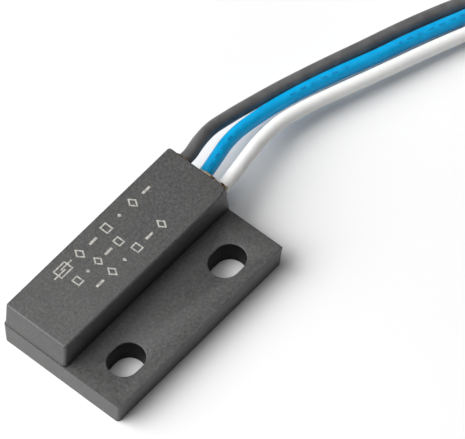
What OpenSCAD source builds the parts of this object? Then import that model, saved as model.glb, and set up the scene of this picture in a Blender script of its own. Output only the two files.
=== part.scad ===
// Miniature flange-mount reed sensor: a potted changeover contact in a moulded
// housing, with three stranded leads. +X points to the wire end, +Z up, and the
// origin is the centre of the housing's footprint on the mounting surface.

/* [Housing] */
// Length of the housing along X
body_l = 23.1; // [22:0.1:25]
// Width of the housing along Y, block and flange together
body_w = 14; // [13.5:0.1:15]
// Height of the block
body_h = 5.9; // [5.7:0.1:6.5]
// Width of the block that holds the switch
block_w = 7.5; // [7.2:0.1:7.8]
// Thickness of the mounting flange
flange_t = 2.7; // [2.4:0.1:3]
// Wall between the potted cavity and the outside
wall = 0.7; // [0.6:0.05:0.75]
// Width of the ledge that the mould's parting line leaves round the block
ledge = 0.08; // [0:0.01:0.1]
// How far the moulded sides lean in over each half of the mould
draft = 0.1; // [0.05:0.01:0.12]
// Height of the upright lip along the flange's long edge
lip_h = 0.45; // [0.3:0.05:0.6]
// Angle of the small relief on the block's corner beside the wires
relief_turn = 12; // [8:1:14]
// Length of that relief along the block's top edge
relief_l = 1.6; // [1:0.1:2]

/* [Mounting slots] */
// Distance between the two slots' centres
slot_pitch = 14.2; // [13:0.1:15]
// Width of each slot, for an M3 or a number 4 screw
slot_w = 3.1; // [2.8:0.1:3.2]
// Length of each slot, end to end
slot_l = 3.9; // [3.5:0.1:4.5]
// Distance from the flange's outer edge to the slots' centre line
slot_inset = 2.9; // [2.7:0.1:3.1]

/* [Reed switch] */
// Diameter of the glass envelope
glass_d = 2.54; // [2.4:0.02:2.6]
// Length of the glass envelope
glass_l = 14.7; // [14.4:0.1:15]
// Wall thickness of the glass
glass_wall = 0.32; // [0.25:0.01:0.34]
// Diameter of the single common lead
common_d = 0.5; // [0.4:0.02:0.54]
// Diameter of each of the two contact leads
contact_d = 0.45; // [0.4:0.01:0.45]
// Width of the leads' flattened blades
blade_w = 0.8; // [0.6:0.05:0.9]
// Thickness of the leads' flattened blades
blade_t = 0.2; // [0.15:0.01:0.2]
// Open gap between the moving blade and the normally open contact
contact_gap = 0.18; // [0.18:0.01:0.24]
// Clearance between the moving blade and the closed contact
closed_gap = 0.03; // [0.02:0.01:0.04]
// Thickness of the non-magnetic pad on the normally closed contact
pad_t = 0.1; // [0.08:0.01:0.12]

/* [Wires] */
// Outer diameter of the insulated wires
wire_d = 1.35; // [1.2:0.05:1.35]
// Diameter of the stranded conductor
core_d = 0.6; // [0.5:0.02:0.62]
// How far the potting creeps out along the wires
bead_l = 0.45; // [0.3:0.05:0.5]
// Diameter of the collar of potting round each wire
bead_d = 1.9; // [1.6:0.05:1.95]

/* [Hank] */
// Distance between the centres of the hank's two round ends
hank_run = 15; // [14:0.5:16]
// How far the tie draws each side of the hank in
hank_waist = 1.6; // [1.2:0.1:1.8]
// Rise from one layer of wire to the next
layer_h = 1.38; // [1.36:0.01:1.42]
// Width of the twist tie's strip
tie_w = 2.4; // [2:0.1:3]
// Thickness of the twist tie's strip
tie_t = 0.3; // [0.25:0.05:0.35]

/* [Hidden] */
$fn = 48;

x_end = body_l / 2;
y_side = body_w / 2;
block_y = y_side - block_w;

// The potted cavity, open at the wire end
cavity_x = -x_end + wall;
cavity_y = block_y + wall;
cavity_w = block_w - 2 * wall;
cavity_z = 0.9;
cavity_h = 4.1;
potting_face = x_end - 0.1;

// The reed switch's axis and ends
reed_y = 1.9;
reed_z = 2.95;
glass_x0 = -8.6;
glass_x1 = glass_x0 + glass_l;
seal_l = 2;
flat_end = 0.45;
cap_outside = 1.1;
cap_inside = 0.6;
inner_r = glass_d / 2 - glass_wall;

// The moving blade, and the point where it flexes
hinge_x = -4.8;
hinge_gap = 0.03;
blade_tip = 3.4;
paddle_x = 2.2;
lead_offset = 0.5;

// How far a round lead reaches past its seal, and how far it overlaps its blade
stub_l = 0.2;
overlap_l = 0.3;

// Size of the pad on the normally closed contact
pad_l = 1;
pad_w = 0.6;

// Where the leads and conductors meet
common_end = -9.7;
open_lead_end = 7.9;
closed_lead_end = 8.9;
splice_x = -9.2;
core_rise = common_d / 2 + core_d / 2;
lap_side = contact_d / 2 + core_d / 2;
blue_stripped_x = 9.8;
white_stripped_x = 10.4;
black_stripped_x = -6.8;

// The black conductor's elbow, and how far it lies across the common lead
elbow_r = 0.6;
core_past = 0.5;

// The other two conductors: straight as far as bend_in, then bent to their leads
bend_in = 0.2;
bend_steps = 6;
blue_lap = [7.8, 6.9];
white_lap = [8.8, 7.9];

// The soldered joints: their radius, and the centres of each one's round ends,
// along Y from the reed's axis on the common lead and along X on the other two
joint_r = 0.6;
common_joint = [-0.2, 0.3];
open_joint = [7.3, 7.6];
closed_joint = [8.2, 8.5];

// Wires leave the potting here: along X, then each one's place in Y and Z
exit_x = x_end + bead_l;
black_exit = [5.55, 4.2];
blue_exit = [3.5, 3.3];
white_exit = [1.3, 3.1];

// The hank: its centre, its lanes' radii, and where each wire's insulation ends
hank_x = 63.5;
hank_y = -0.9;
hank_z = 0.35;
lane_black = 4.45;
lane_blue = 5.9;
lane_white = 7.6;
lane_half = 0.7;
turns_black = 4.188;
turns_blue = 3.652;
turns_white = 3.184;

// Turns that each 6.4 mm stripped end takes up
end_black = 0.108;
end_blue = 0.102;
end_white = 0.09;

// Routes of the wires' loose stretches, from the potting to the hank
route_black = [
    [12, 5.55, 4.2], [13, 5.55, 4.2], [14.8, 5.9, 4.1], [16.8, 6.2, 3.55], [19, 6.08, 3],
    [22, 5.55, 2.6], [25, 4.88, 2.3], [28, 4.05, 2.1], [31, 3.12, 1.95], [34, 2.15, 1.8],
    [37, 1.22, 1.65], [40, 0.2, 1.5], [43, -0.92, 1.3], [46, -2.15, 1.1], [49, -3.37, 0.95],
    [52, -4.5, 0.95], [54, -5.1, 1], [56, -5.35, 1.03]
];
route_blue = [
    [12, 3.5, 3.3], [13, 3.5, 3.3], [14.8, 3.85, 3.23], [16.8, 4.25, 3.1], [19, 4.35, 2.85],
    [22, 4.02, 2.55], [25, 3.42, 2.3], [28, 2.6, 2.1], [31, 1.6, 1.95], [34, 0.52, 1.8],
    [37, -0.42, 1.65], [40, -1.48, 1.5], [43, -2.57, 1.3], [46, -3.7, 1.1], [49, -4.87, 0.95],
    [52, -5.95, 0.95], [54, -6.55, 1], [56, -6.8, 1.03]
];
route_white = [
    [12, 1.3, 3.1], [13, 1.3, 3.1], [14.8, 1.55, 3.08], [16.8, 1.88, 2.95], [19, 2.22, 2.75],
    [22, 2.27, 2.5], [25, 1.68, 2.25], [28, 0.75, 2.05], [31, -0.3, 1.92], [34, -1.34, 1.8],
    [37, -2.33, 1.65], [40, -3.39, 1.5], [43, -4.52, 1.3], [46, -5.7, 1.1], [49, -6.87, 0.95],
    [52, -7.85, 0.95], [54, -8.3, 1], [56, -8.5, 1.03]
];

// Outline of the tie round the hank's waist, looking along X
tie_outline = [
    [-7.95, 0], [6.15, 0], [6.35, 0.2], [6.35, 6.2],
    [4.55, 7.7], [-6.35, 7.7], [-8.15, 6.2], [-8.15, 0.2]
];

// The tie's two ends, twisted together and laid along the hank
twist_d = 1.2;
twist_l = 9;
twist_y = -5.2;
twist_z = 8;

// ---- Vectors and sweeps ----

function unit(v) = v / norm(v);

// Direction of a path at point i, from its neighbours
function heading(path, i) =
    unit(path[min(i + 1, len(path) - 1)] - path[max(i - 1, 0)]);

// One ring of points round a path, square to it
function ring(centre, along, r, sides) =
    let (across = unit(cross([0, 0, 1], along)), over = cross(along, across))
    [for (k = [0 : sides - 1])
        let (a = 360 * (k + 0.5) / sides)
        centre + r * cos(a) * across + r * sin(a) * over];

// A tube of diameter d along a path
module tube(path, d, sides = 8) {
    last = len(path) - 1;
    points = [for (i = [0 : last]) each ring(path[i], heading(path, i), d / 2, sides)];
    walls = [for (i = [0 : last - 1], k = [0 : sides - 1])
        let (n = (k + 1) % sides)
        [i * sides + k, (i + 1) * sides + k, (i + 1) * sides + n, i * sides + n]];
    start_cap = [for (k = [0 : sides - 1]) k];
    end_cap = [for (k = [sides - 1 : -1 : 0]) last * sides + k];
    polyhedron(points, concat([start_cap], walls, [end_cap]), convexity = 4);
}

// A round bar between two points
module bar(from, to, d) {
    v = to - from;
    translate(from)
        rotate([0, acos(v.z / norm(v)), atan2(v.y, v.x)])
            cylinder(d = d, h = norm(v));
}

// ---- Housing ----

// Cross-section of the housing in Y and Z, with its draft and parting ledge
module section_outline() {
    polygon([
        [-y_side + draft, 0], [-y_side, flange_t - lip_h], [-y_side, flange_t],
        [block_y, flange_t], [block_y + draft / 2, body_h],
        [y_side - ledge - draft, body_h], [y_side - ledge, flange_t],
        [y_side, flange_t], [y_side - draft, 0]
    ]);
}

// The same ends seen along Y. The open end for the wires has no ledge.
module end_outline() {
    polygon([
        [-x_end + draft, 0], [-x_end, flange_t], [-x_end + ledge, flange_t],
        [-x_end + ledge + draft, body_h], [x_end, body_h], [x_end, flange_t],
        [x_end - draft, 0]
    ]);
}

module moulded_block() {
    intersection() {
        translate([-x_end, 0, 0])
            rotate([90, 0, 90])
                linear_extrude(body_l) section_outline();
        translate([0, y_side, 0])
            rotate([90, 0, 0])
                linear_extrude(body_w) end_outline();
    }
}

// Slot along X through the flange
module slot(x) {
    straight = slot_l - slot_w;
    depth = 2 * flange_t;
    translate([x, -y_side + slot_inset, -flange_t / 2]) {
        for (side = [-1, 1])
            translate([side * straight / 2, 0, 0])
                cylinder(d = slot_w, h = depth);
        translate([-straight / 2, -slot_w / 2, 0])
            cube([straight, slot_w, depth]);
    }
}

// Wedge that relieves the block's corner beside the wires
module corner_relief() {
    size = 3 * relief_l;
    translate([x_end - relief_l, block_y, body_h])
        rotate([0, 0, relief_turn])
            rotate([-relief_turn / 2, 0, 0])
                translate([-size / 2, -size, -2 * size])
                    cube([2 * size, size, 3 * size]);
}

module cavity(length) {
    translate([cavity_x, cavity_y, cavity_z])
        cube([length, cavity_w, cavity_h]);
}

module housing() {
    color([0.2, 0.2, 0.2])
        difference() {
            moulded_block();
            cavity(body_l);
            slot(-slot_pitch / 2);
            slot(slot_pitch / 2);
            intersection() {
                corner_relief();
                translate([0, -y_side, flange_t])
                    cube([body_l, body_w, body_h]);
            }
        }
}

// ---- Reed switch ----

// Radius of a shouldered end at angle a: flat in the middle, round outside
function shoulder(r, a) = r * (flat_end + (1 - flat_end) * sin(a));

// Half outline of a tube from x0 to x1 with shouldered ends cap long
function capsule_profile(x0, x1, r, cap, steps = 6) = concat(
    [[0, x0]],
    [for (i = [1 : steps])
        let (a = 90 * i / steps) [shoulder(r, a), x0 + cap * (1 - cos(a))]],
    [for (i = [steps : -1 : 1])
        let (a = 90 * i / steps) [shoulder(r, a), x1 - cap * (1 - cos(a))]],
    [[0, x1]]
);

module turned_along_x(profile) {
    translate([0, reed_y, reed_z])
        rotate([90, 0, 90])
            rotate_extrude() polygon(profile);
}

module glass_outside() {
    turned_along_x(capsule_profile(glass_x0, glass_x1, glass_d / 2, cap_outside));
}

module glass_envelope() {
    color([0.75, 0.85, 0.8, 0.4])
        difference() {
            glass_outside();
            turned_along_x(
                capsule_profile(glass_x0 + seal_l, glass_x1 - seal_l, inner_r, cap_inside));
            common_lead_shape();
            contact_lead_shape(1, closed_lead_end, closed_paddle_z());
            contact_lead_shape(-1, open_lead_end, open_paddle_z());
        }
}

// A flattened stretch of a lead: a flat blade from x0 to x1, lowest at z
module blade(x0, x1, z, width = blade_w, thickness = blade_t) {
    translate([x0, reed_y - width / 2, reed_z + z])
        cube([x1 - x0, width, thickness]);
}

module common_lead_shape() {
    root_x = glass_x0 + seal_l + stub_l;
    bar([common_end, reed_y, reed_z], [root_x, reed_y, reed_z], common_d);
    blade(root_x - overlap_l, hinge_x - hinge_gap, -blade_t / 2);
}

module common_lead() {
    color([0.72, 0.7, 0.66]) common_lead_shape();
}

module armature_blade() {
    color([0.8, 0.78, 0.72])
        blade(hinge_x + hinge_gap, blade_tip, -blade_t / 2);
}

function closed_paddle_z() = blade_t / 2 + closed_gap + pad_t;
function open_paddle_z() = -blade_t / 2 - contact_gap - blade_t;

// A fixed contact's lead: round through the glass, flat at the contact
module contact_lead_shape(side, end_x, paddle_z) {
    z = reed_z + side * lead_offset;
    bar([glass_x1 - seal_l - overlap_l, reed_y, z], [end_x, reed_y, z], contact_d);
    blade(paddle_x, glass_x1 - seal_l, paddle_z);
}

module normally_closed_lead() {
    color([0.72, 0.7, 0.66])
        contact_lead_shape(1, closed_lead_end, closed_paddle_z());
}

module normally_open_lead() {
    color([0.72, 0.7, 0.66])
        contact_lead_shape(-1, open_lead_end, open_paddle_z());
}

module normally_closed_pad() {
    color([0.85, 0.75, 0.45])
        blade(blade_tip - pad_l, blade_tip, closed_paddle_z() - pad_t, pad_w, pad_t);
}

// ---- Conductors and soldered joints in the potting ----

// Turns along -Y behind the reed and ends on top of the common lead
module core_black_shape() {
    y = black_exit[0];
    z = black_exit[1];
    elbow = [for (a = [0 : 30 : 90])
        [splice_x + elbow_r * (1 - sin(a)), y - elbow_r * (1 - cos(a)), z]];
    tube(concat(
        [[black_stripped_x, y, z]], elbow,
        [[splice_x, reed_y - core_past, reed_z + core_rise]]
    ), core_d, 12);
}

// A conductor that bends from its wire to the side of a contact lead. It lies
// along the lead over the lap's stretch of X, at side_y and z.
module lapped_core(from_x, exit, lap, side_y, z) {
    start = [from_x - bend_in, exit[0], exit[1]];
    end = [lap[0], side_y, z];
    bend = [for (i = [0 : bend_steps])
        let (t = i / bend_steps, s = t * t * (3 - 2 * t), d = end - start)
        start + [d.x * t, d.y * s, d.z * s]];
    tube(concat([[from_x, exit[0], exit[1]]], bend, [[lap[1], side_y, z]]), core_d, 12);
}

module core_blue_shape() {
    lapped_core(
        blue_stripped_x, blue_exit, blue_lap, reed_y + lap_side, reed_z - lead_offset);
}

module core_white_shape() {
    lapped_core(
        white_stripped_x, white_exit, white_lap, reed_y - lap_side, reed_z + lead_offset);
}

module core_black() {
    color([0.82, 0.8, 0.76]) core_black_shape();
}

module core_blue() {
    color([0.82, 0.8, 0.76]) core_blue_shape();
}

module core_white() {
    color([0.82, 0.8, 0.76]) core_white_shape();
}

// A blob of solder with round ends
module solder_blob(from, to) {
    bar(from, to, 2 * joint_r);
    translate(from) sphere(r = joint_r);
    translate(to) sphere(r = joint_r);
}

module solder_black_shape() {
    z = reed_z + core_rise / 2;
    solder_blob([splice_x, reed_y + common_joint[0], z], [splice_x, reed_y + common_joint[1], z]);
}

module solder_blue_shape() {
    y = reed_y + lap_side / 2;
    z = reed_z - lead_offset;
    solder_blob([open_joint[0], y, z], [open_joint[1], y, z]);
}

module solder_white_shape() {
    y = reed_y - lap_side / 2;
    z = reed_z + lead_offset;
    solder_blob([closed_joint[0], y, z], [closed_joint[1], y, z]);
}

module solder_black() {
    color([0.7, 0.71, 0.73])
        difference() {
            solder_black_shape();
            common_lead_shape();
            core_black_shape();
        }
}

module solder_blue() {
    color([0.7, 0.71, 0.73])
        difference() {
            solder_blue_shape();
            contact_lead_shape(-1, open_lead_end, open_paddle_z());
            core_blue_shape();
        }
}

module solder_white() {
    color([0.7, 0.71, 0.73])
        difference() {
            solder_white_shape();
            contact_lead_shape(1, closed_lead_end, closed_paddle_z());
            core_white_shape();
        }
}

// ---- Insulated wire held in the potting ----

module potted_wire(from_x, exit) {
    bar([from_x, exit[0], exit[1]], [exit_x, exit[0], exit[1]], wire_d);
}

module potted_wire_black() {
    color([0.1, 0.1, 0.1]) potted_wire(black_stripped_x, black_exit);
}

module potted_wire_blue() {
    color([0, 0.5, 0.8]) potted_wire(blue_stripped_x, blue_exit);
}

module potted_wire_white() {
    color([0.95, 0.95, 0.95]) potted_wire(white_stripped_x, white_exit);
}

// ---- Potting resin ----

module potting_bead(exit) {
    bar([potting_face - bead_l, exit[0], exit[1]], [exit_x, exit[0], exit[1]], bead_d);
}

module potting_fill() {
    color([0.55, 0.35, 0.12, 0.8])
        difference() {
            union() {
                cavity(potting_face - cavity_x);
                for (exit = [black_exit, blue_exit, white_exit])
                    intersection() {
                        potting_bead(exit);
                        cavity(body_l + 1);
                    }
            }
            glass_outside();
            common_lead_shape();
            contact_lead_shape(1, closed_lead_end, closed_paddle_z());
            contact_lead_shape(-1, open_lead_end, open_paddle_z());
            core_black_shape();
            core_blue_shape();
            core_white_shape();
            solder_black_shape();
            solder_blue_shape();
            solder_white_shape();
            potted_wire(black_stripped_x, black_exit);
            potted_wire(blue_stripped_x, blue_exit);
            potted_wire(white_stripped_x, white_exit);
        }
}

// ---- Loose wires ----

module wire_black() {
    color([0.1, 0.1, 0.1]) tube(route_black, wire_d);
}

module wire_blue() {
    color([0, 0.5, 0.8]) tube(route_blue, wire_d);
}

module wire_white() {
    color([0.95, 0.95, 0.95]) tube(route_white, wire_d);
}

// ---- The hank that the rest of each wire is wound into ----

// How far a run is drawn in at x, measured from the hank's centre
function waist(x) = hank_waist * (1 + cos(360 * x / hank_run)) / 2;

// A lane of radius r at turn t: out along -Y, round, back along +Y, round
function lane(r, t) =
    let (f = t - floor(t), half = hank_run / 2, a = 720 * (f % 0.5 - 0.25))
    f < 0.25 ? let (x = 4 * f * hank_run - half) [x, waist(x) - r]
    : f < 0.5 ? [half + r * sin(a), -r * cos(a)]
    : f < 0.75 ? let (x = half - 4 * (f - 0.5) * hank_run) [x, r - waist(x)]
    : [-half - r * sin(a), r * cos(a)];

// Each turn climbs one layer between the +Y run's middle and the near end
function climb(t) =
    let (f = t - floor(t), s = min(max((f - 0.625) / 0.25, 0), 1))
    floor(t) + s * s * (3 - 2 * s);

function hank_point(r, t) =
    let (p = lane(r, t))
    [hank_x + p.x, hank_y + p.y, hank_z + wire_d / 2 + layer_h * climb(t)];

module lane_outline(r) {
    polygon([for (i = [0 : 71]) lane(r, i / 72)]);
}

// Solid ring that one wire's turns fill. The near end starts a layer up, over
// the wires that come in under it.
module hank(r, layers) {
    reach = 2 * lane_white;
    difference() {
        translate([hank_x, hank_y, hank_z])
            linear_extrude(layers * layer_h)
                difference() {
                    lane_outline(r + lane_half);
                    lane_outline(r - lane_half);
                }
        translate([hank_x - hank_run / 2 - reach, hank_y - reach, 0])
            cube([reach, reach + wire_d / 2, hank_z + layer_h]);
    }
}

module hank_black() {
    color([0.1, 0.1, 0.1]) hank(lane_black, 5);
}

module hank_blue() {
    color([0, 0.5, 0.8]) hank(lane_blue, 5);
}

module hank_white() {
    color([0.95, 0.95, 0.95]) hank(lane_white, 4);
}

// Stripped and tinned end of a wire, from turn t of its lane onwards
module wire_end(r, t, turns) {
    steps = 4;
    tube([for (i = [0 : steps]) hank_point(r, t + turns * i / steps)], core_d);
}

module wire_end_black() {
    color([0.82, 0.8, 0.76]) wire_end(lane_black, turns_black, end_black);
}

module wire_end_blue() {
    color([0.82, 0.8, 0.76]) wire_end(lane_blue, turns_blue, end_blue);
}

module wire_end_white() {
    color([0.82, 0.8, 0.76]) wire_end(lane_white, turns_white, end_white);
}

// Twist tie: a flat strip round the hank's waist, its ends twisted on top
module wire_tie() {
    color([0.92, 0.92, 0.9]) {
        translate([hank_x - tie_w / 2, 0, 0])
            rotate([90, 0, 90])
                linear_extrude(tie_w)
                    difference() {
                        polygon(tie_outline);
                        offset(delta = -tie_t) polygon(tie_outline);
                    }
        bar([hank_x, twist_y, twist_z], [hank_x - twist_l, twist_y, twist_z], twist_d);
    }
}

housing();
potting_fill();
glass_envelope();
common_lead();
armature_blade();
normally_open_lead();
normally_closed_lead();
normally_closed_pad();
core_black();
core_blue();
core_white();
solder_black();
solder_blue();
solder_white();
potted_wire_black();
potted_wire_blue();
potted_wire_white();
wire_black();
wire_blue();
wire_white();
hank_black();
hank_blue();
hank_white();
wire_end_black();
wire_end_blue();
wire_end_white();
wire_tie();
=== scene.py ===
"""Looks of a small potted door contact sensor with three loose leads.

Lengths in the tables below are millimetres in the CAD frame; MM turns them
into Blender's metres.
"""

import math

import bmesh
import bpy
from mathutils import Matrix, Vector, noise


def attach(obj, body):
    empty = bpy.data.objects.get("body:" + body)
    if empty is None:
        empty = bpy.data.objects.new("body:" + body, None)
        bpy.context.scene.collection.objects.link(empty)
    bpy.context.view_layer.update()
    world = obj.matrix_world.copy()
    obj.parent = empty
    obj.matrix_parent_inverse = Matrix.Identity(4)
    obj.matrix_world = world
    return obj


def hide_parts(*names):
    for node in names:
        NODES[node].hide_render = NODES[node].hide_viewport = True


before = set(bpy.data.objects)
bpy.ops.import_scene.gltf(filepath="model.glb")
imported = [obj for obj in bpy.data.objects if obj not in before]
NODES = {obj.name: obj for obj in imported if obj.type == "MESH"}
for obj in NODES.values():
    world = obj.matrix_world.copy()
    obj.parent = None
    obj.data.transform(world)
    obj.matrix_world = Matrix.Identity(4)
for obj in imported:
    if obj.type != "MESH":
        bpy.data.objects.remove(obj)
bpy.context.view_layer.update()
MM = 0.001
# Points of a CAD mesh this near to each other are one
WELD = 0.002 * MM


# ---- Camera -----------------------------------------------------------------

AZIMUTH = math.radians(-49.9)
ELEVATION = math.radians(56.9)
ROLL = math.radians(0.62)
DISTANCE = 0.7644
PAN_RIGHT = 8.22 * MM
PAN_UP = 7.52 * MM
LENS = 641.6


def make_camera():
    """Long lens, looking down at the wire end from the flange's far corner."""
    level = math.cos(ELEVATION)
    back = Vector((math.sin(AZIMUTH) * level, -math.cos(AZIMUTH) * level, math.sin(ELEVATION)))
    right = Vector((math.cos(AZIMUTH), math.sin(AZIMUTH), 0))
    up = back.cross(right)
    tilted_right = right * math.cos(ROLL) + up * math.sin(ROLL)
    tilted_up = up * math.cos(ROLL) - right * math.sin(ROLL)
    data = bpy.data.cameras.new("camera")
    data.lens = LENS
    data.sensor_width = 36
    data.clip_start = 0.01
    data.clip_end = 10
    camera = bpy.data.objects.new("camera", data)
    place = back * DISTANCE + tilted_right * PAN_RIGHT + tilted_up * PAN_UP
    turn = Matrix((tilted_right, tilted_up, back)).transposed().to_4x4()
    camera.matrix_world = Matrix.Translation(place) @ turn
    bpy.context.scene.collection.objects.link(camera)
    bpy.context.scene.camera = camera


make_camera()


# ---- Shader building --------------------------------------------------------


class Shader:
    """A material's node tree, with short calls for the nodes used here."""

    def __init__(self, name):
        self.material = bpy.data.materials.new(name)
        self.material.use_nodes = True
        self.tree = self.material.node_tree
        self.surface = self.tree.nodes["Principled BSDF"]
        coordinates = self.tree.nodes.new("ShaderNodeTexCoord")
        scaled = self.tree.nodes.new("ShaderNodeMapping")
        scaled.inputs["Scale"].default_value = (1000, 1000, 1000)
        self.link(coordinates.outputs["Object"], scaled.inputs["Vector"])
        self.place = scaled.outputs["Vector"]

    def link(self, source, target):
        """Joins an output to an input."""
        self.tree.links.new(source, target)

    def set(self, **values):
        """Constants for the surface's sockets, named in lower case."""
        for socket in self.surface.inputs:
            name = socket.name.lower().replace(" ", "_")
            if name in values:
                socket.default_value = values[name]

    def noise(self, scale, detail=3, roughness=0.5, place=None):
        """Noise with scale waves to the millimetre."""
        node = self.tree.nodes.new("ShaderNodeTexNoise")
        node.inputs["Scale"].default_value = scale
        node.inputs["Detail"].default_value = detail
        node.inputs["Roughness"].default_value = roughness
        self.link(place or self.place, node.inputs["Vector"])
        return node.outputs["Fac"]

    def stretched(self, scale):
        """The object's coordinates, in millimetres times scale."""
        node = self.tree.nodes.new("ShaderNodeMapping")
        node.inputs["Scale"].default_value = scale
        self.link(self.place, node.inputs["Vector"])
        return node.outputs["Vector"]

    def combine(self, x, y):
        """A vector from two values."""
        node = self.tree.nodes.new("ShaderNodeCombineXYZ")
        self.link(x, node.inputs["X"])
        self.link(y, node.inputs["Y"])
        return node.outputs["Vector"]

    def attribute(self, name):
        """A value that the mesh holds at each point."""
        node = self.tree.nodes.new("ShaderNodeAttribute")
        node.attribute_name = name
        return node.outputs["Fac"]

    def ramp(self, value, stops):
        """Colours or greys against value: stops are (position, colour)."""
        node = self.tree.nodes.new("ShaderNodeValToRGB")
        ramp = node.color_ramp
        while len(ramp.elements) < len(stops):
            ramp.elements.new(0.5)
        for element, (position, colour) in zip(ramp.elements, stops):
            element.position = position
            element.color = colour if len(colour) == 4 else (*colour, 1)
        self.link(value, node.inputs["Fac"])
        return node.outputs["Color"]

    def span(self, value, low, high, from_low=0.0, from_high=1.0):
        """value moved from one range into another."""
        node = self.tree.nodes.new("ShaderNodeMapRange")
        node.inputs["From Min"].default_value = from_low
        node.inputs["From Max"].default_value = from_high
        node.inputs["To Min"].default_value = low
        node.inputs["To Max"].default_value = high
        self.link(value, node.inputs["Value"])
        return node.outputs["Result"]

    def maths(self, operation, first, second, margin=0.0):
        """One sum of two values; COMPARE gives 1 where they are within margin."""
        node = self.tree.nodes.new("ShaderNodeMath")
        node.operation = operation
        node.inputs[2].default_value = margin
        for socket, value in zip(node.inputs, (first, second)):
            if isinstance(value, (int, float)):
                socket.default_value = value
            else:
                self.link(value, socket)
        return node.outputs["Value"]

    def repeat(self, value, rate, share):
        """1 over the first share of each repeat, and 0 over the rest."""
        phase = self.maths("FRACT", self.maths("MULTIPLY", value, rate), 0)
        return self.maths("LESS_THAN", phase, share)

    def mix(self, share, first, second, blend="MIX"):
        """Two colours mixed by share."""
        node = self.tree.nodes.new("ShaderNodeMix")
        node.data_type = "RGBA"
        node.blend_type = blend
        if isinstance(share, (int, float)):
            node.inputs["Factor"].default_value = share
        else:
            self.link(share, node.inputs["Factor"])
        for socket, value in ((node.inputs[6], first), (node.inputs[7], second)):
            if isinstance(value, tuple):
                socket.default_value = value if len(value) == 4 else (*value, 1)
            else:
                self.link(value, socket)
        return node.outputs[2]

    def bump(self, height, distance, strength=1.0, under=None):
        """Height in millimetres times distance, laid over an earlier bump."""
        node = self.tree.nodes.new("ShaderNodeBump")
        node.inputs["Distance"].default_value = distance * MM
        node.inputs["Strength"].default_value = strength
        self.link(height, node.inputs["Height"])
        if under is not None:
            self.link(under, node.inputs["Normal"])
        return node.outputs["Normal"]

    def use(self, socket, value):
        """Feeds one of the surface's sockets."""
        self.link(value, self.surface.inputs[socket])


# ---- Materials --------------------------------------------------------------


def moulded_plastic(name, dark, light, gloss):
    """Dark filled nylon: a fine spark-eroded grain over slow unevenness."""
    s = Shader(name)
    slow = s.noise(0.5, 3, 0.6)
    grain = s.noise(3.4, 5, 0.75)
    fine = s.noise(11, 2, 0.6)
    speckled = s.ramp(grain, [(0.33, dark), (0.5, light), (0.68, tuple(1.5 * c for c in light))])
    cloud = s.ramp(slow, [(0.3, (0.91, 0.91, 0.91)), (0.7, (1.07, 1.07, 1.07))])
    s.use("Base Color", s.mix(1.0, speckled, cloud, "MULTIPLY"))
    s.use("Roughness", s.span(grain, 0.4, 0.58, 0.3, 0.7))
    rough = s.bump(grain, 0.03, 0.7)
    s.use("Normal", s.bump(fine, 0.008, 0.8, rough))
    s.set(specular_ior_level=gloss)
    return s.material


# How fast the drag lines' noise runs along a wire, to the millimetre, and round it, to the turn
DRAG_LENGTHWISE = 0.12
DRAG_CROSSWISE = 9


def insulation(name, dark, light, roughness):
    """PVC insulation: soft gloss, with slight drag lines from the extruder.

    The wire's mesh says how far along, in millimetres, and how far round,
    from 0 to 1, each point is.
    """
    s = Shader(name)
    lengthwise = s.maths("MULTIPLY", s.attribute("along"), DRAG_LENGTHWISE)
    crosswise = s.maths("MULTIPLY", s.attribute("round"), DRAG_CROSSWISE)
    drag = s.noise(1.6, 4, 0.6, s.combine(lengthwise, crosswise))
    cloud = s.noise(0.9, 3)
    s.colour = s.ramp(cloud, [(0.35, dark), (0.65, light)])
    s.use("Base Color", s.colour)
    s.use("Roughness", s.span(drag, roughness - 0.06, roughness + 0.1, 0.3, 0.7))
    slow = s.bump(s.noise(0.45, 2), 0.06, 0.5)
    s.use("Normal", s.bump(drag, 0.02, 0.7, slow))
    return s


def black_insulation():
    """Black, faded to a dark grey where it catches the light."""
    s = insulation("black_insulation", (0.094, 0.092, 0.093), (0.13, 0.127, 0.128), 0.46)
    return s.material


def white_insulation():
    """White, slightly translucent."""
    s = insulation("white_insulation", (0.90, 0.90, 0.89), (0.94, 0.94, 0.93), 0.4)
    s.set(subsurface_weight=0.12, subsurface_scale=0.3 * MM)
    return s.material


# Ink dashes and groups of dashes to the millimetre, and the share of each that is inked
DASHES = 0.85
DASH_SHARE = 0.55
DASH_GROUPS = 0.08
GROUP_SHARE = 0.6
# Where the line of ink runs round the wire, and half its width, in turns
INK_LINE = 0.29
INK_HALF_WIDTH = 0.028


def blue_insulation():
    """Blue, with short faint dashes of darker ink in a line along the wire."""
    s = insulation("blue_insulation", (0.0, 0.33, 0.66), (0.0, 0.39, 0.76), 0.42)
    s.set(specular_ior_level=0.35)
    along = s.attribute("along")
    dash = s.repeat(along, DASHES, DASH_SHARE)
    group = s.repeat(along, DASH_GROUPS, GROUP_SHARE)
    line = s.maths("COMPARE", s.attribute("round"), INK_LINE, INK_HALF_WIDTH)
    worn = s.span(s.noise(0.7, 1), 0.15, 0.6, 0.35, 0.65)
    ink = s.maths("MULTIPLY", s.maths("MULTIPLY", dash, group), s.maths("MULTIPLY", line, worn))
    s.use("Base Color", s.mix(ink, s.colour, (0.001, 0.10, 0.30)))
    return s.material


def cured_resin():
    """Amber potting resin: glossy, cloudy in places and darker in others."""
    s = Shader("cured_resin")
    cloud = s.noise(0.95, 2, 0.5)
    s.use("Base Color", s.ramp(cloud, [
        (0.34, (0.07, 0.036, 0.013)),
        (0.48, (0.26, 0.15, 0.06)),
        (0.64, (0.56, 0.46, 0.30)),
    ]))
    s.use("Roughness", s.span(cloud, 0.08, 0.25))
    s.use("Normal", s.bump(s.noise(1.6, 2), 0.05))
    s.set(transmission_weight=0.3, ior=1.52)
    return s.material


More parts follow.
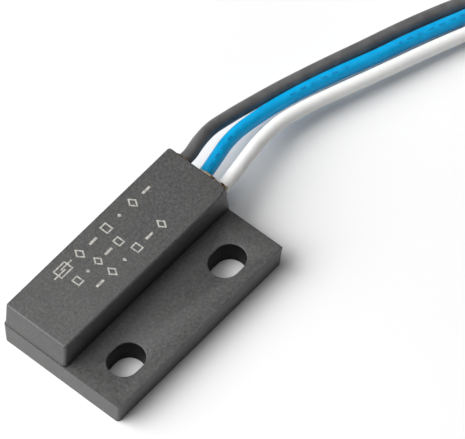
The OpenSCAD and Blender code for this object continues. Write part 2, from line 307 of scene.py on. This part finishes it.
def clear_glass():
    """Clear glass with a slight green cast."""
    s = Shader("clear_glass")
    s.use("Roughness", s.span(s.noise(1.5, 2), 0.01, 0.05))
    s.set(base_color=(0.86, 0.95, 0.9, 1), transmission_weight=1.0, ior=1.5)
    return s.material


def metal(name, dark, light, roughness, lines=(1, 1, 1)):
    """Bare metal with fine streaks; lines is their scale along X, Y and Z."""
    s = Shader(name)
    streak = s.noise(7, 4, 0.6, s.stretched(lines))
    s.use("Base Color", s.ramp(streak, [(0.3, dark), (0.7, light)]))
    s.use("Roughness", s.span(streak, roughness - 0.08, roughness + 0.12, 0.3, 0.7))
    s.use("Normal", s.bump(streak, 0.006, 0.6))
    s.set(metallic=1.0)
    return s.material


def tie_strip():
    """Paper-backed strip of the twist tie."""
    s = Shader("tie_strip")
    fibre = s.noise(5, 4, 0.65, s.stretched((0.5, 2, 2)))
    s.use("Base Color", s.ramp(fibre, [(0.3, (0.72, 0.71, 0.67)), (0.7, (0.84, 0.83, 0.80))]))
    s.use("Roughness", s.span(fibre, 0.55, 0.75))
    s.use("Normal", s.bump(fibre, 0.02, 0.7))
    return s.material


def pad_print():
    """Light grey ink, thin and slightly broken."""
    s = Shader("pad_print")
    worn = s.noise(3.2, 3, 0.6)
    s.use("Base Color", s.ramp(worn, [(0.34, (0.24, 0.235, 0.215)), (0.54, (0.50, 0.49, 0.45))]))
    s.use("Roughness", s.span(worn, 0.5, 0.7))
    s.use("Normal", s.bump(worn, 0.01, 0.6))
    return s.material


# Painted shade: the slots' walls are coloured near black, as little light gets into them, and they
# shine less
PLASTIC = moulded_plastic("moulded_plastic", (0.046, 0.045, 0.045), (0.072, 0.071, 0.070), 0.7)
BORE_PAINTED_SHADE = moulded_plastic("slot_walls", (0.004, 0.004, 0.004), (0.008, 0.008, 0.008), 0.1)
BLACK = black_insulation()
BLUE = blue_insulation()
WHITE = white_insulation()
RESIN = cured_resin()
GLASS = clear_glass()
LEAD = metal("lead_alloy", (0.46, 0.44, 0.41), (0.62, 0.60, 0.56), 0.3, (0.3, 2, 2))
CONTACT = metal("contact_pad", (0.66, 0.62, 0.52), (0.82, 0.78, 0.68), 0.22)
TINNED = metal("tinned_copper", (0.55, 0.54, 0.52), (0.78, 0.77, 0.75), 0.3)
SOLDER = metal("solder", (0.48, 0.49, 0.51), (0.66, 0.67, 0.69), 0.38)
TIE = tie_strip()
INK = pad_print()


# ---- Mesh helpers -----------------------------------------------------------


def new_piece(name, points, faces, material, smooth=True):
    """A mesh object from points in metres, linked and painted."""
    mesh = bpy.data.meshes.new(name)
    mesh.from_pydata([tuple(p) for p in points], [], faces)
    mesh.update()
    tidy = bmesh.new()
    tidy.from_mesh(mesh)
    bmesh.ops.recalc_face_normals(tidy, faces=tidy.faces)
    tidy.to_mesh(mesh)
    tidy.free()
    mesh.polygons.foreach_set("use_smooth", [smooth] * len(mesh.polygons))
    mesh.materials.append(material)
    piece = bpy.data.objects.new(name, mesh)
    bpy.context.scene.collection.objects.link(piece)
    return piece


def smooth_path(points, steps):
    """Catmull-Rom curve through points, with steps pieces to each gap."""
    ends = [points[0] * 2 - points[1], *points, points[-1] * 2 - points[-2]]
    path = []
    for before, here, there, after in zip(ends, ends[1:], ends[2:], ends[3:]):
        for step in range(steps):
            t = step / steps
            path.append(0.5 * (
                2 * here
                + (there - before) * t
                + (2 * before - 5 * here + 4 * there - after) * t ** 2
                + (3 * here - before - 3 * there + after) * t ** 3
            ))
    path.append(points[-1])
    return path


def ring_faces(rings, sides, loop=False):
    """Faces between rings of points in a row, capped, or joined into a loop."""
    faces = []
    for i in range(rings if loop else rings - 1):
        after = (i + 1) % rings
        for k in range(sides):
            n = (k + 1) % sides
            faces.append((i * sides + k, i * sides + n, after * sides + n, after * sides + k))
    if not loop:
        faces.append(tuple(range(sides)))
        faces.append(tuple((rings - 1) * sides + k for k in range(sides)))
    return faces


def tube_mesh(path, radius, sides):
    """Points and faces of a capped tube along path."""
    points = []
    last = len(path) - 1
    for i, centre in enumerate(path):
        along = (path[min(i + 1, last)] - path[max(i - 1, 0)]).normalized()
        across = Vector((0, 0, 1)).cross(along).normalized()
        over = along.cross(across)
        for k in range(sides):
            angle = 2 * math.pi * k / sides
            points.append(centre + radius * (math.cos(angle) * across + math.sin(angle) * over))
    return points, ring_faces(len(path), sides)


def joined(parts):
    """Points and faces of several meshes, as one."""
    points = []
    faces = []
    for added, patches in parts:
        faces += [tuple(len(points) + k for k in patch) for patch in patches]
        points += added
    return points, faces


def cad_copy(node):
    """A CAD node's geometry, welded, to be worked on."""
    work = bmesh.new()
    work.from_mesh(NODES[node].data)
    bmesh.ops.remove_doubles(work, verts=work.verts, dist=WELD)
    return work


def finished(name, work, materials, sharp):
    """An object from worked geometry, smooth but for edges over sharp degrees."""
    mesh = bpy.data.meshes.new(name)
    work.to_mesh(mesh)
    work.free()
    for material in materials:
        mesh.materials.append(material)
    mesh.polygons.foreach_set("use_smooth", [True] * len(mesh.polygons))
    mesh.set_sharp_from_angle(angle=math.radians(sharp))
    piece = bpy.data.objects.new(name, mesh)
    bpy.context.scene.collection.objects.link(piece)
    return piece


# ---- Leads: a loose stretch, then a hank ------------------------------------

WIRE_D = 1.35
WIRE_SIDES = 24
# Steps between two points of a route, and in one turn of the hank
ROUTE_STEPS = 8
TURN_STEPS = 96
# The hank: its middle, the run between its two bends, and how far the tie draws the runs in
HANK_CENTRE = Vector((63.5, -0.9, 0.35))
HANK_RUN = 15
HANK_WAIST = 1.6
# Height of one layer, and where in a turn the wire climbs to the next, and over how much
LAYER = 1.38
CLIMB_FROM = 0.625
CLIMB_OVER = 0.25

# Each wire's loose stretch, from the potting to the hank
ROUTES = {
    "black": [
        (12, 5.55, 4.2), (13, 5.55, 4.2), (14.8, 5.9, 4.1), (16.8, 6.2, 3.55), (19, 6.08, 3),
        (22, 5.55, 2.6), (25, 4.88, 2.3), (28, 4.05, 2.1), (31, 3.12, 1.95), (34, 2.15, 1.8),
        (37, 1.22, 1.65), (40, 0.2, 1.5), (43, -0.92, 1.3), (46, -2.15, 1.1), (49, -3.37, 0.95),
        (52, -4.5, 0.95), (54, -5.1, 1), (56, -5.35, 1.03),
    ],
    "blue": [
        (12, 3.5, 3.3), (13, 3.5, 3.3), (14.8, 3.85, 3.23), (16.8, 4.25, 3.1), (19, 4.35, 2.85),
        (22, 4.02, 2.55), (25, 3.42, 2.3), (28, 2.6, 2.1), (31, 1.6, 1.95), (34, 0.52, 1.8),
        (37, -0.42, 1.65), (40, -1.48, 1.5), (43, -2.57, 1.3), (46, -3.7, 1.1),
        (49, -4.87, 0.95), (52, -5.95, 0.95), (54, -6.55, 1), (56, -6.8, 1.03),
    ],
    "white": [
        (12, 1.3, 3.1), (13, 1.3, 3.1), (14.8, 1.55, 3.08), (16.8, 1.88, 2.95), (19, 2.22, 2.75),
        (22, 2.27, 2.5), (25, 1.68, 2.25), (28, 0.75, 2.05), (31, -0.3, 1.92), (34, -1.34, 1.8),
        (37, -2.33, 1.65), (40, -3.39, 1.5), (43, -4.52, 1.3), (46, -5.7, 1.1),
        (49, -6.87, 0.95), (52, -7.85, 0.95), (54, -8.3, 1), (56, -8.5, 1.03),
    ],
}
# Each wire's lane radius in the hank, the turns to its insulation's end, and of its bare end
LANES = {"black": (4.45, 4.188, 0.108), "blue": (5.9, 3.652, 0.102), "white": (7.6, 3.184, 0.09)}
COATS = {"black": BLACK, "blue": BLUE, "white": WHITE}


def waist(x):
    """How far the tie draws a run in, x millimetres from the hank's centre."""
    return HANK_WAIST * (1 + math.cos(2 * math.pi * x / HANK_RUN)) / 2


def hank_point(radius, turn):
    """Point of a lane: out along -Y, round, back along +Y, round."""
    part = turn - math.floor(turn)
    half = HANK_RUN / 2
    angle = 4 * math.pi * (part % 0.5 - 0.25)
    if part < 0.25:
        x = 4 * part * HANK_RUN - half
        y = waist(x) - radius
    elif part < 0.5:
        x = half + radius * math.sin(angle)
        y = -radius * math.cos(angle)
    elif part < 0.75:
        x = half - 4 * (part - 0.5) * HANK_RUN
        y = radius - waist(x)
    else:
        x = -half - radius * math.sin(angle)
        y = radius * math.cos(angle)
    rise = min(max((part - CLIMB_FROM) / CLIMB_OVER, 0), 1)
    layers = math.floor(turn) + rise * rise * (3 - 2 * rise)
    return HANK_CENTRE + Vector((x, y, WIRE_D / 2 + LAYER * layers))


def lead_path(colour):
    """The whole centreline of one wire, in metres."""
    loose = smooth_path([Vector(p) for p in ROUTES[colour]], ROUTE_STEPS)
    radius, turns, _ = LANES[colour]
    steps = math.ceil(turns * TURN_STEPS)
    wound = [hank_point(radius, turns * i / steps) for i in range(1, steps + 1)]
    return [p * MM for p in loose + wound]


# The stripped end: one strand in the middle, and the rest twisted round it by STRAND_TWIST turns
STRANDS = 7
STRAND_D = 0.2
STRAND_SIDES = 8
STRAND_STEPS = 24
STRAND_TWIST = 0.8


def bare_strand(centre, number):
    """Points and faces of one strand, wound round the line of centre."""
    path = []
    for i, middle in enumerate(centre):
        along = (centre[min(i + 1, STRAND_STEPS)] - centre[max(i - 1, 0)]).normalized()
        across = Vector((0, 0, 1)).cross(along).normalized()
        angle = 2 * math.pi * (number / (STRANDS - 1) + STRAND_TWIST * i / STRAND_STEPS)
        lift = math.cos(angle) * across + math.sin(angle) * along.cross(across)
        path.append(middle + lift * (0 if number == STRANDS - 1 else STRAND_D))
    return tube_mesh([place * MM for place in path], STRAND_D / 2 * MM, STRAND_SIDES)


def bare_end(colour):
    """Tinned strands, twisted together, past the insulation."""
    radius, turn, span = LANES[colour]
    centre = [hank_point(radius, turn + span * i / STRAND_STEPS) for i in range(STRAND_STEPS + 1)]
    points, faces = joined(bare_strand(centre, number) for number in range(STRANDS))
    piece = new_piece(f"bare_end_{colour}", points, faces, TINNED)
    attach(piece, "sensor")
    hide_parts(f"wire_end_{colour}")
    return piece


def mark_wire(mesh, path):
    """Gives each point how far along the wire it is, in mm, and how far round."""
    along = mesh.attributes.new("along", "FLOAT", "POINT")
    around = mesh.attributes.new("round", "FLOAT", "POINT")
    distance = 0
    for i, centre in enumerate(path):
        if i:
            distance += (centre - path[i - 1]).length / MM
        for k in range(WIRE_SIDES):
            along.data[i * WIRE_SIDES + k].value = distance
            around.data[i * WIRE_SIDES + k].value = k / WIRE_SIDES


def lead(colour, extras=()):
    """One insulated wire, from the potting to its stripped end."""
    path = lead_path(colour)
    points, faces = tube_mesh(path, WIRE_D / 2 * MM, WIRE_SIDES)
    piece = new_piece(f"lead_{colour}", points, faces, COATS[colour])
    mark_wire(piece.data, path)
    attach(piece, "sensor")
    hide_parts(f"wire_{colour}", f"hank_{colour}")
    bare_end(colour)
    return piece


# Inner outline of the tie round the hank's waist, looking along X
TIE_HUG = [
    (-7.6, 0.33), (5.8, 0.33), (5.8, 4.1), (5.5, 4.5), (4.0, 5.75), (3.6, 5.87),
    (-3.0, 7.25), (-4.4, 7.24), (-7.3, 5.86), (-7.62, 5.5),
]
# Half of the strip's section: place across it, and height over its inner face
TIE_SECTION = [(1.2, 0), (1.2, 0.08), (1.08, 0.12), (0.4, 0.13), (0.22, 0.25)]
TIE_RIDGE = 0.28
TIE_CORNER = 0.5
TIE_SHARP = 50
# The two tails: their radius, and the twist's own radius, length and turns
TAIL_R = 0.29
TAIL_SIDES = 10
TWIST_R = 0.3
TWIST_LENGTH = 9
TWIST_TURNS = 3.5
TWIST_STEPS = 49
TWIST_AXIS = (-5.2, 8)
# How far back and down from the twist the tails leave the strip
TWIST_LEAD = 0.8


def rounded(corners, reach, steps=5):
    """Closed outline with a short curve in place of each corner."""
    outline = []
    for i, corner in enumerate(corners):
        sides = [corners[i - 1] - corner, corners[(i + 1) % len(corners)] - corner]
        start, end = (corner + side.normalized() * min(reach, 0.45 * side.length) for side in sides)
        for step in range(steps + 1):
            t = step / steps
            outline.append((1 - t) ** 2 * start + 2 * t * (1 - t) * corner + t * t * end)
    return outline


def tie_band():
    """Points and faces of the strip, with the wire's ridge along its middle."""
    section = TIE_SECTION + [(0, TIE_RIDGE)] + [(-x, up) for x, up in reversed(TIE_SECTION)]
    outline = rounded([Vector(corner) for corner in TIE_HUG], TIE_CORNER)
    count = len(outline)
    points = []
    for i, place in enumerate(outline):
        along = (outline[(i + 1) % count] - outline[i - 1]).normalized()
        for x, up in section:
            y, z = place + up * Vector((along.y, -along.x))
            points.append(Vector((HANK_CENTRE.x + x, y, z)) * MM)
    return points, ring_faces(count, len(section), loop=True)


def tie_tail(phase):
    """Points and faces of one end, wound round the other along the hank."""
    y, z = TWIST_AXIS
    path = [Vector((HANK_CENTRE.x, y + TWIST_R * math.cos(phase), z - TWIST_LEAD))]
    for i in range(TWIST_STEPS + 1):
        angle = phase + 2 * math.pi * TWIST_TURNS * i / TWIST_STEPS
        x = HANK_CENTRE.x - TWIST_LEAD - (TWIST_LENGTH - TWIST_LEAD) * i / TWIST_STEPS
        path.append(Vector((x, y + TWIST_R * math.cos(angle), z + TWIST_R * math.sin(angle))))
    return tube_mesh([place * MM for place in path], TAIL_R * MM, TAIL_SIDES)


def twist_tie():
    """Strip round the hank, its two ends twisted together along the wires."""
    points, faces = joined([tie_band(), tie_tail(0), tie_tail(math.pi)])
    piece = new_piece("twist_tie", points, faces, TIE)
    piece.data.set_sharp_from_angle(angle=math.radians(TIE_SHARP))
    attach(piece, "sensor")
    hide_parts("wire_tie")
    return piece


lead("black", [twist_tie()])
lead("blue")
lead("white")


# ---- Housing ----------------------------------------------------------------


BODY_H = 5.9
FLANGE_T = 2.7
BLOCK_Y = -0.5
# Centre of one mounting slot, whose twin is its mirror image in X, and a circle that holds it
SLOT_X = 7.1
SLOT_Y = -4.1
SLOT_REACH = 2.1
# Corners of a box that holds the cavity and its mouth's edges
CAVITY_LOW = Vector((-10.9, 0.15, 0.85))
CAVITY_HIGH = Vector((11.7, 6.35, 5.05))
MOUTH_X = 11.5
# An edge is rounded if it turns more than this, and faces within FLAT are one
TURN = math.radians(40)
FLAT = math.radians(0.5)
HOUSING_SHARP = 32
# Slack on heights, on the flange's line along the block, and on an upright edge's draft
LEVEL = 0.05
LINE = 0.02
LEAN = 0.6
# The band under the block's top that its rounding reaches, and a slot's own rims, which are kept
# out of the painted shade on its walls
TOP_BAND = 0.3
BORE_MARGIN = 0.15


def convex_edges(work, wanted):
    """Convex edges of the housing that turn enough, and that pass wanted."""
    found = []
    for edge in work.edges:
        if len(edge.link_faces) != 2 or not edge.is_convex:
            continue
        if edge.calc_face_angle() < TURN:
            continue
        first, second = (v.co / MM for v in edge.verts)
        if wanted(first, second):
            found.append(edge)
    return found


def on_slot(point):
    """On either mounting slot's edges or walls."""
    return math.hypot(abs(point.x) - SLOT_X, point.y - SLOT_Y) < SLOT_REACH


def in_cavity(point):
    """On the walls or the mouth of the cavity that the resin fills."""
    return all(low < value < high for low, value, high in zip(CAVITY_LOW, point, CAVITY_HIGH))


def upright(first, second):
    """An outside corner of the block or of the flange."""
    tall = abs(first.z - second.z) > 1 and (first.xy - second.xy).length < LEAN
    return tall and not on_slot(first) and not in_cavity(first)


def block_top(first, second):
    """Round the block's top face."""
    return min(first.z, second.z) > BODY_H - TOP_BAND


def flange_rim(first, second):
    """The flange's top edge, where it stands clear of the block."""
    low, high = sorted((first.z, second.z))
    level = low > FLANGE_T - LEVEL and high < FLANGE_T + LEVEL
    clear = max(first.y, second.y) < BLOCK_Y + LINE
    return level and clear and not on_slot(first)


def slot_rim(first, second):
    """Round either end of a slot."""
    level = abs(first.z - second.z) < LEVEL
    return level and on_slot(first) and on_slot(second)


def cavity_rim(first, second):
    """Round the cavity's mouth, in the wire end."""
    return min(first.x, second.x) > MOUTH_X and in_cavity(first) and in_cavity(second)


# The edges to round, in order: which, how wide in millimetres, and in how many steps
ROUNDED = [
    (upright, 0.3, 4),
    (block_top, 0.2, 4),
    (flange_rim, 0.14, 3),
    (slot_rim, 0.1, 3),
    (cavity_rim, 0.1, 2),
]


def housing():
    """The CAD housing with its moulded edges rounded over, and painted shade on its slots' walls.
    """
    work = cad_copy("housing")
    bmesh.ops.dissolve_limit(work, angle_limit=FLAT, verts=work.verts, edges=work.edges)
    for wanted, width, steps in ROUNDED:
        bmesh.ops.bevel(
            work, geom=convex_edges(work, wanted), offset=width * MM, offset_type="OFFSET",
            segments=steps, profile=0.5, affect="EDGES", clamp_overlap=False)
    piece = finished("moulded_housing", work, (PLASTIC, BORE_PAINTED_SHADE), HOUSING_SHARP)
    # Painted shade: the slots' walls below their rims take the near-black slot colour
    for face in piece.data.polygons:
        middle = face.center / MM
        if on_slot(middle) and BORE_MARGIN < middle.z < FLANGE_T - BORE_MARGIN:
            face.material_index = 1
    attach(piece, "sensor")
    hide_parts("housing")


housing()


# ---- Printed marks ----------------------------------------------------------

# Each mark's strokes, in a box one unit square
MARKS = {
    "diamond": [[(0.5, 0), (0.95, 0.5), (0.5, 1), (0.05, 0.5), (0.5, 0)]],
    "window": [[(0.1, 0.1), (0.9, 0.1), (0.9, 0.9), (0.1, 0.9), (0.1, 0.1)]],
    "brick": [[(0, 0.44), (1, 0.44)], [(0, 0.54), (1, 0.54)]],
    "bead": [[(0.5, 0.38), (0.62, 0.5), (0.5, 0.62), (0.38, 0.5), (0.5, 0.38)]],
    # A reed capsule, with a lead into each end
    "capsule": [
        [(0.2, 0.05), (0.8, 0.05), (0.8, 0.95), (0.2, 0.95), (0.2, 0.05)],
        [(0, 0.4), (0.55, 0.4)],
        [(0.45, 0.62), (1, 0.62)],
    ],
}
# Rows of marks: start, size and spacing in millimetres, then the marks
PRINT_ROWS = [
    ((-3.2, 4.75), 1.1, 1.85, ["diamond", "brick", "window", "bead", "diamond", "brick"]),
    ((-5.5, 3.0), 1.0, 1.42, ["window", "bead", "diamond", "brick", "window"]),
    ((-4.4, 1.25), 1.05, 1.72, ["brick", "diamond", "bead", "window", "brick", "diamond"]),
]
STROKE = 0.15
# The sign ahead of the first row: its corner, and its size
SIGN_CORNER = (-6.35, 4.75)
SIGN_SIZE = (2.5, 1.1)
# Ink's height over the face, and the steps that keep crossing strokes apart
INK_LIFT = 0.006
INK_STEP = 0.0002
INK_LAYERS = 5
# A mark's width over its height
MARK_ASPECT = 0.8


def strokes(mark, corner, width, height):
    """Flat bars, in millimetres, for one mark with its lower left at corner."""
    bars = []
    for line in MARKS[mark]:
        places = [Vector((corner[0] + x * width, corner[1] + y * height)) for x, y in line]
        for first, second in zip(places, places[1:]):
            run = (second - first).normalized() * STROKE / 2
            side = Vector((-run.y, run.x))
            start, end = first - run, second + run
            bars.append((start - side, end - side, end + side, start + side))
    return bars


def printed_marks():
    """Generic marks in ink on the block's top, in place of the maker's print."""
    bars = strokes("capsule", SIGN_CORNER, *SIGN_SIZE)
    for (x, y), size, spacing, names in PRINT_ROWS:
        for i, name in enumerate(names):
            bars += strokes(name, (x + i * spacing, y), MARK_ASPECT * size, size)
    points = []
    faces = []
    for i, bar in enumerate(bars):
        lift = BODY_H + INK_LIFT + INK_STEP * (i % INK_LAYERS)
        faces.append(tuple(range(4 * i, 4 * i + 4)))
        points += [Vector((p.x, p.y, lift)) * MM for p in bar]
    piece = new_piece("printed_marks", points, faces, INK, smooth=False)
    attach(piece, "sensor")


printed_marks()


# ---- Resin at the wire end, and what crept out along the wires ---------------

# Each collar's wire, how far it reaches in X, and its size where it starts
COLLARS = [("black", 11.95, 0.8), ("blue", 12.8, 1.15), ("white", 12.95, 1.15)]
COLLAR_START = 11.47
COLLAR_RINGS = 15
COLLAR_SIDES = 32
# How far a collar sinks into its wire, and how fast it thins out along it
COLLAR_GRIP = 0.03
COLLAR_THINNING = 1.6
# Its lumps and its ragged far end: how strong, and how many to the millimetre
COLLAR_LUMPS = 0.9
COLLAR_LUMP_RATE = 1.7
COLLAR_FRINGE = 0.35
COLLAR_FRINGE_RATE = 2.3


def resin_collar(colour, end, radius):
    """Uneven ring of resin that thins out along the wire."""
    _, y, z = ROUTES[colour][0]
    points = []
    for i in range(COLLAR_RINGS):
        part = i / (COLLAR_RINGS - 1)
        x = COLLAR_START + (end - COLLAR_START) * part
        flare = (radius - WIRE_D / 2) * (1 - part) ** COLLAR_THINNING
        for k in range(COLLAR_SIDES):
            angle = 2 * math.pi * k / COLLAR_SIDES
            arm = Vector((x, math.cos(angle), math.sin(angle)))
            lump = COLLAR_LUMPS * noise.noise(arm * COLLAR_LUMP_RATE + Vector((y, 0, 0)))
            size = WIRE_D / 2 - COLLAR_GRIP + flare * (1 + lump)
            ragged = noise.noise(arm * COLLAR_FRINGE_RATE + Vector((0, y, 0)))
            fringe = COLLAR_FRINGE * part * ragged
            points.append(Vector((x + fringe, y + size * arm.y, z + size * arm.z)) * MM)
    faces = ring_faces(COLLAR_RINGS, COLLAR_SIDES)
    piece = new_piece(f"resin_collar_{colour}", points, faces, RESIN)
    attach(piece, "sensor")


# The smear's middle line in X and Z, its ends in Y, its radius, and its height over its width
SMEAR_X = 11.6
SMEAR_Z = 5.38
SMEAR_Y = (0.45, 3.4)
SMEAR_R = 0.22
SMEAR_TALL = 1.3
SMEAR_LUMPS = 0.8
SMEAR_LUMP_RATE = 2.1
# It tapers over the first and the last 1 / SMEAR_TAPER of its length, to SMEAR_TIP of its size
SMEAR_TAPER = 5
SMEAR_TIP = 0.05
SMEAR_RINGS = 27
SMEAR_SIDES = 16


def resin_smear():
    """Ragged ridge of resin on the end of the top wall, between two wires."""
    near, far = SMEAR_Y
    points = []
    for i in range(SMEAR_RINGS):
        part = i / (SMEAR_RINGS - 1)
        y = near + (far - near) * part
        taper = max(min(1, SMEAR_TAPER * part, SMEAR_TAPER * (1 - part)) ** 0.5, SMEAR_TIP)
        for k in range(SMEAR_SIDES):
            angle = 2 * math.pi * k / SMEAR_SIDES
            arm = Vector((math.cos(angle), y, math.sin(angle)))
            lump = SMEAR_LUMPS * noise.noise(arm * SMEAR_LUMP_RATE)
            size = SMEAR_R * taper * (1 + lump)
            x = SMEAR_X + size * arm.x
            z = SMEAR_Z + SMEAR_TALL * size * arm.z
            points.append(Vector((x, y, z)) * MM)
    piece = new_piece("resin_smear", points, ring_faces(SMEAR_RINGS, SMEAR_SIDES), RESIN)
    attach(piece, "sensor")


# The set face away from walls and wires, and the back of its skin inside the potting
RESIN_FACE = 11.46
RESIN_BACK = 11.4
# Corners of the opening in the housing's end, in Y and Z
MOUTH = ((0.18, 0.88), (6.32, 5.02))
SKIN_STEP = 0.08
# How high the resin is drawn up the walls and up the wires, and within what distance
WALL_RISE = 0.08
WALL_SPREAD = 0.25
WIRE_RISE = 0.48
WIRE_SPREAD = 0.2
# Its slow ripple: how high, and how many to the millimetre
RIPPLE = 0.035
RIPPLES = 1.3


def resin_height(y, z):
    """How far out the set face stands, drawn up the walls and the wires."""
    (left, bottom), (right, top) = MOUTH
    wall = min(y - left, right - y, z - bottom, top - z)
    rise = WALL_RISE * math.exp(-wall / WALL_SPREAD)
    for route in ROUTES.values():
        _, wire_y, wire_z = route[0]
        gap = max(math.hypot(y - wire_y, z - wire_z) - WIRE_D / 2, 0)
        rise = max(rise, WIRE_RISE * math.exp(-gap / WIRE_SPREAD))
    return RESIN_FACE + rise + RIPPLE * noise.noise(Vector((RIPPLES * y, RIPPLES * z, 0)))


def resin_surface():
    """The face that the resin set with, as a thin closed skin over the potting."""
    (left, bottom), (right, top) = MOUTH
    columns = round((right - left) / SKIN_STEP)
    rows = round((top - bottom) / SKIN_STEP)
    points = []
    faces = []
    for i in range(columns + 1):
        for k in range(rows + 1):
            y = left + (right - left) * i / columns
            z = bottom + (top - bottom) * k / rows
            points.append(Vector((resin_height(y, z), y, z)) * MM)
    high = rows + 1
    for i in range(columns):
        for k in range(rows):
            corner = i * high + k
            faces.append((corner, corner + high, corner + high + 1, corner + 1))
    edge = [i * high for i in range(columns)]
    edge += [columns * high + k for k in range(rows)]
    edge += [i * high + rows for i in range(columns, 0, -1)]
    edge += list(range(rows, 0, -1))
    first = len(points)
    points += [Vector((RESIN_BACK * MM, points[k].y, points[k].z)) for k in edge]
    for i, k in enumerate(edge):
        n = (i + 1) % len(edge)
        faces.append((k, edge[n], first + n, first + i))
    faces.append(tuple(range(first, len(points))))
    piece = new_piece("resin_surface", points, faces, RESIN)
    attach(piece, "sensor")


for wire, reach, size in COLLARS:
    resin_collar(wire, reach, size)
resin_smear()
resin_surface()


# ---- Inner parts, and the potting -------------------------------------------

# Each inner part's material, and a slot name for its finish, which is not used
INNER_PARTS = {
    "glass_envelope": (GLASS, "reed_glass"),
    "common_lead": (LEAD, "lead_alloy"),
    "armature_blade": (LEAD, "lead_alloy"),
    "normally_open_lead": (LEAD, "lead_alloy"),
    "normally_closed_lead": (LEAD, "lead_alloy"),
    "normally_closed_pad": (CONTACT, "contact_pad"),
    "core_black": (TINNED, "tinned_copper"),
    "core_blue": (TINNED, "tinned_copper"),
    "core_white": (TINNED, "tinned_copper"),
    "solder_black": (SOLDER, "solder"),
    "solder_blue": (SOLDER, "solder"),
    "solder_white": (SOLDER, "solder"),
    "potted_wire_black": (BLACK, "pvc_black"),
    "potted_wire_blue": (BLUE, "pvc_blue"),
    "potted_wire_white": (WHITE, "pvc_white"),
}
INNER_SHARP = 35


def smooth_copy(node, material):
    """A CAD part with its round faces shaded smooth and its edges kept."""
    piece = finished(f"{node}_smooth", cad_copy(node), (material,), INNER_SHARP)
    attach(piece, "armature" if node == "armature_blade" else "sensor")
    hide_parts(node)


for part, (material, finish) in INNER_PARTS.items():
    smooth_copy(part, material)
NODES["potting_fill"].data.materials.clear()
NODES["potting_fill"].data.materials.append(RESIN)


# ---- Floor and light --------------------------------------------------------


def floor():
    """Wide plain floor, level with the object's underside."""
    size = 1.5
    piece = new_piece(
        "floor",
        [(-size, -size, 0), (size, -size, 0), (size, size, 0), (-size, size, 0)],
        [(0, 1, 2, 3)],
        floor_paint(),
    )


def floor_paint():
    """Matt white, very slightly uneven."""
    s = Shader("floor_paint")
    uneven = s.noise(0.02, 2)
    s.use("Base Color", s.ramp(uneven, [(0.3, (0.86, 0.86, 0.86)), (0.7, (0.9, 0.9, 0.9))]))
    s.set(roughness=0.9, specular_ior_level=0.1)
    return s.material


def softbox(name, place, width, height, power):
    """Area light at place, turned to the object."""
    data = bpy.data.lights.new(name, "AREA")
    data.shape = "RECTANGLE"
    data.size = width
    data.size_y = height
    data.energy = power
    light = bpy.data.objects.new(name, data)
    light.location = place
    light.rotation_mode = "QUATERNION"
    light.rotation_quaternion = Vector(place).to_track_quat("Z", "Y")
    bpy.context.scene.collection.objects.link(light)


def room_light(strength):
    """Even white light from all round."""
    world = bpy.data.worlds.new("room")
    world.use_nodes = True
    background = world.node_tree.nodes["Background"]
    background.inputs["Color"].default_value = (1, 1, 1, 1)
    background.inputs["Strength"].default_value = strength
    bpy.context.scene.world = world


bpy.context.scene.view_settings.view_transform = "Standard"
floor()
softbox("key", (-0.50, 0.49, 0.61), 0.95, 0.85, 15.2)
softbox("overhead", (-0.05, 0.08, 1.2), 0.9, 0.8, 4.0)
room_light(0.02)
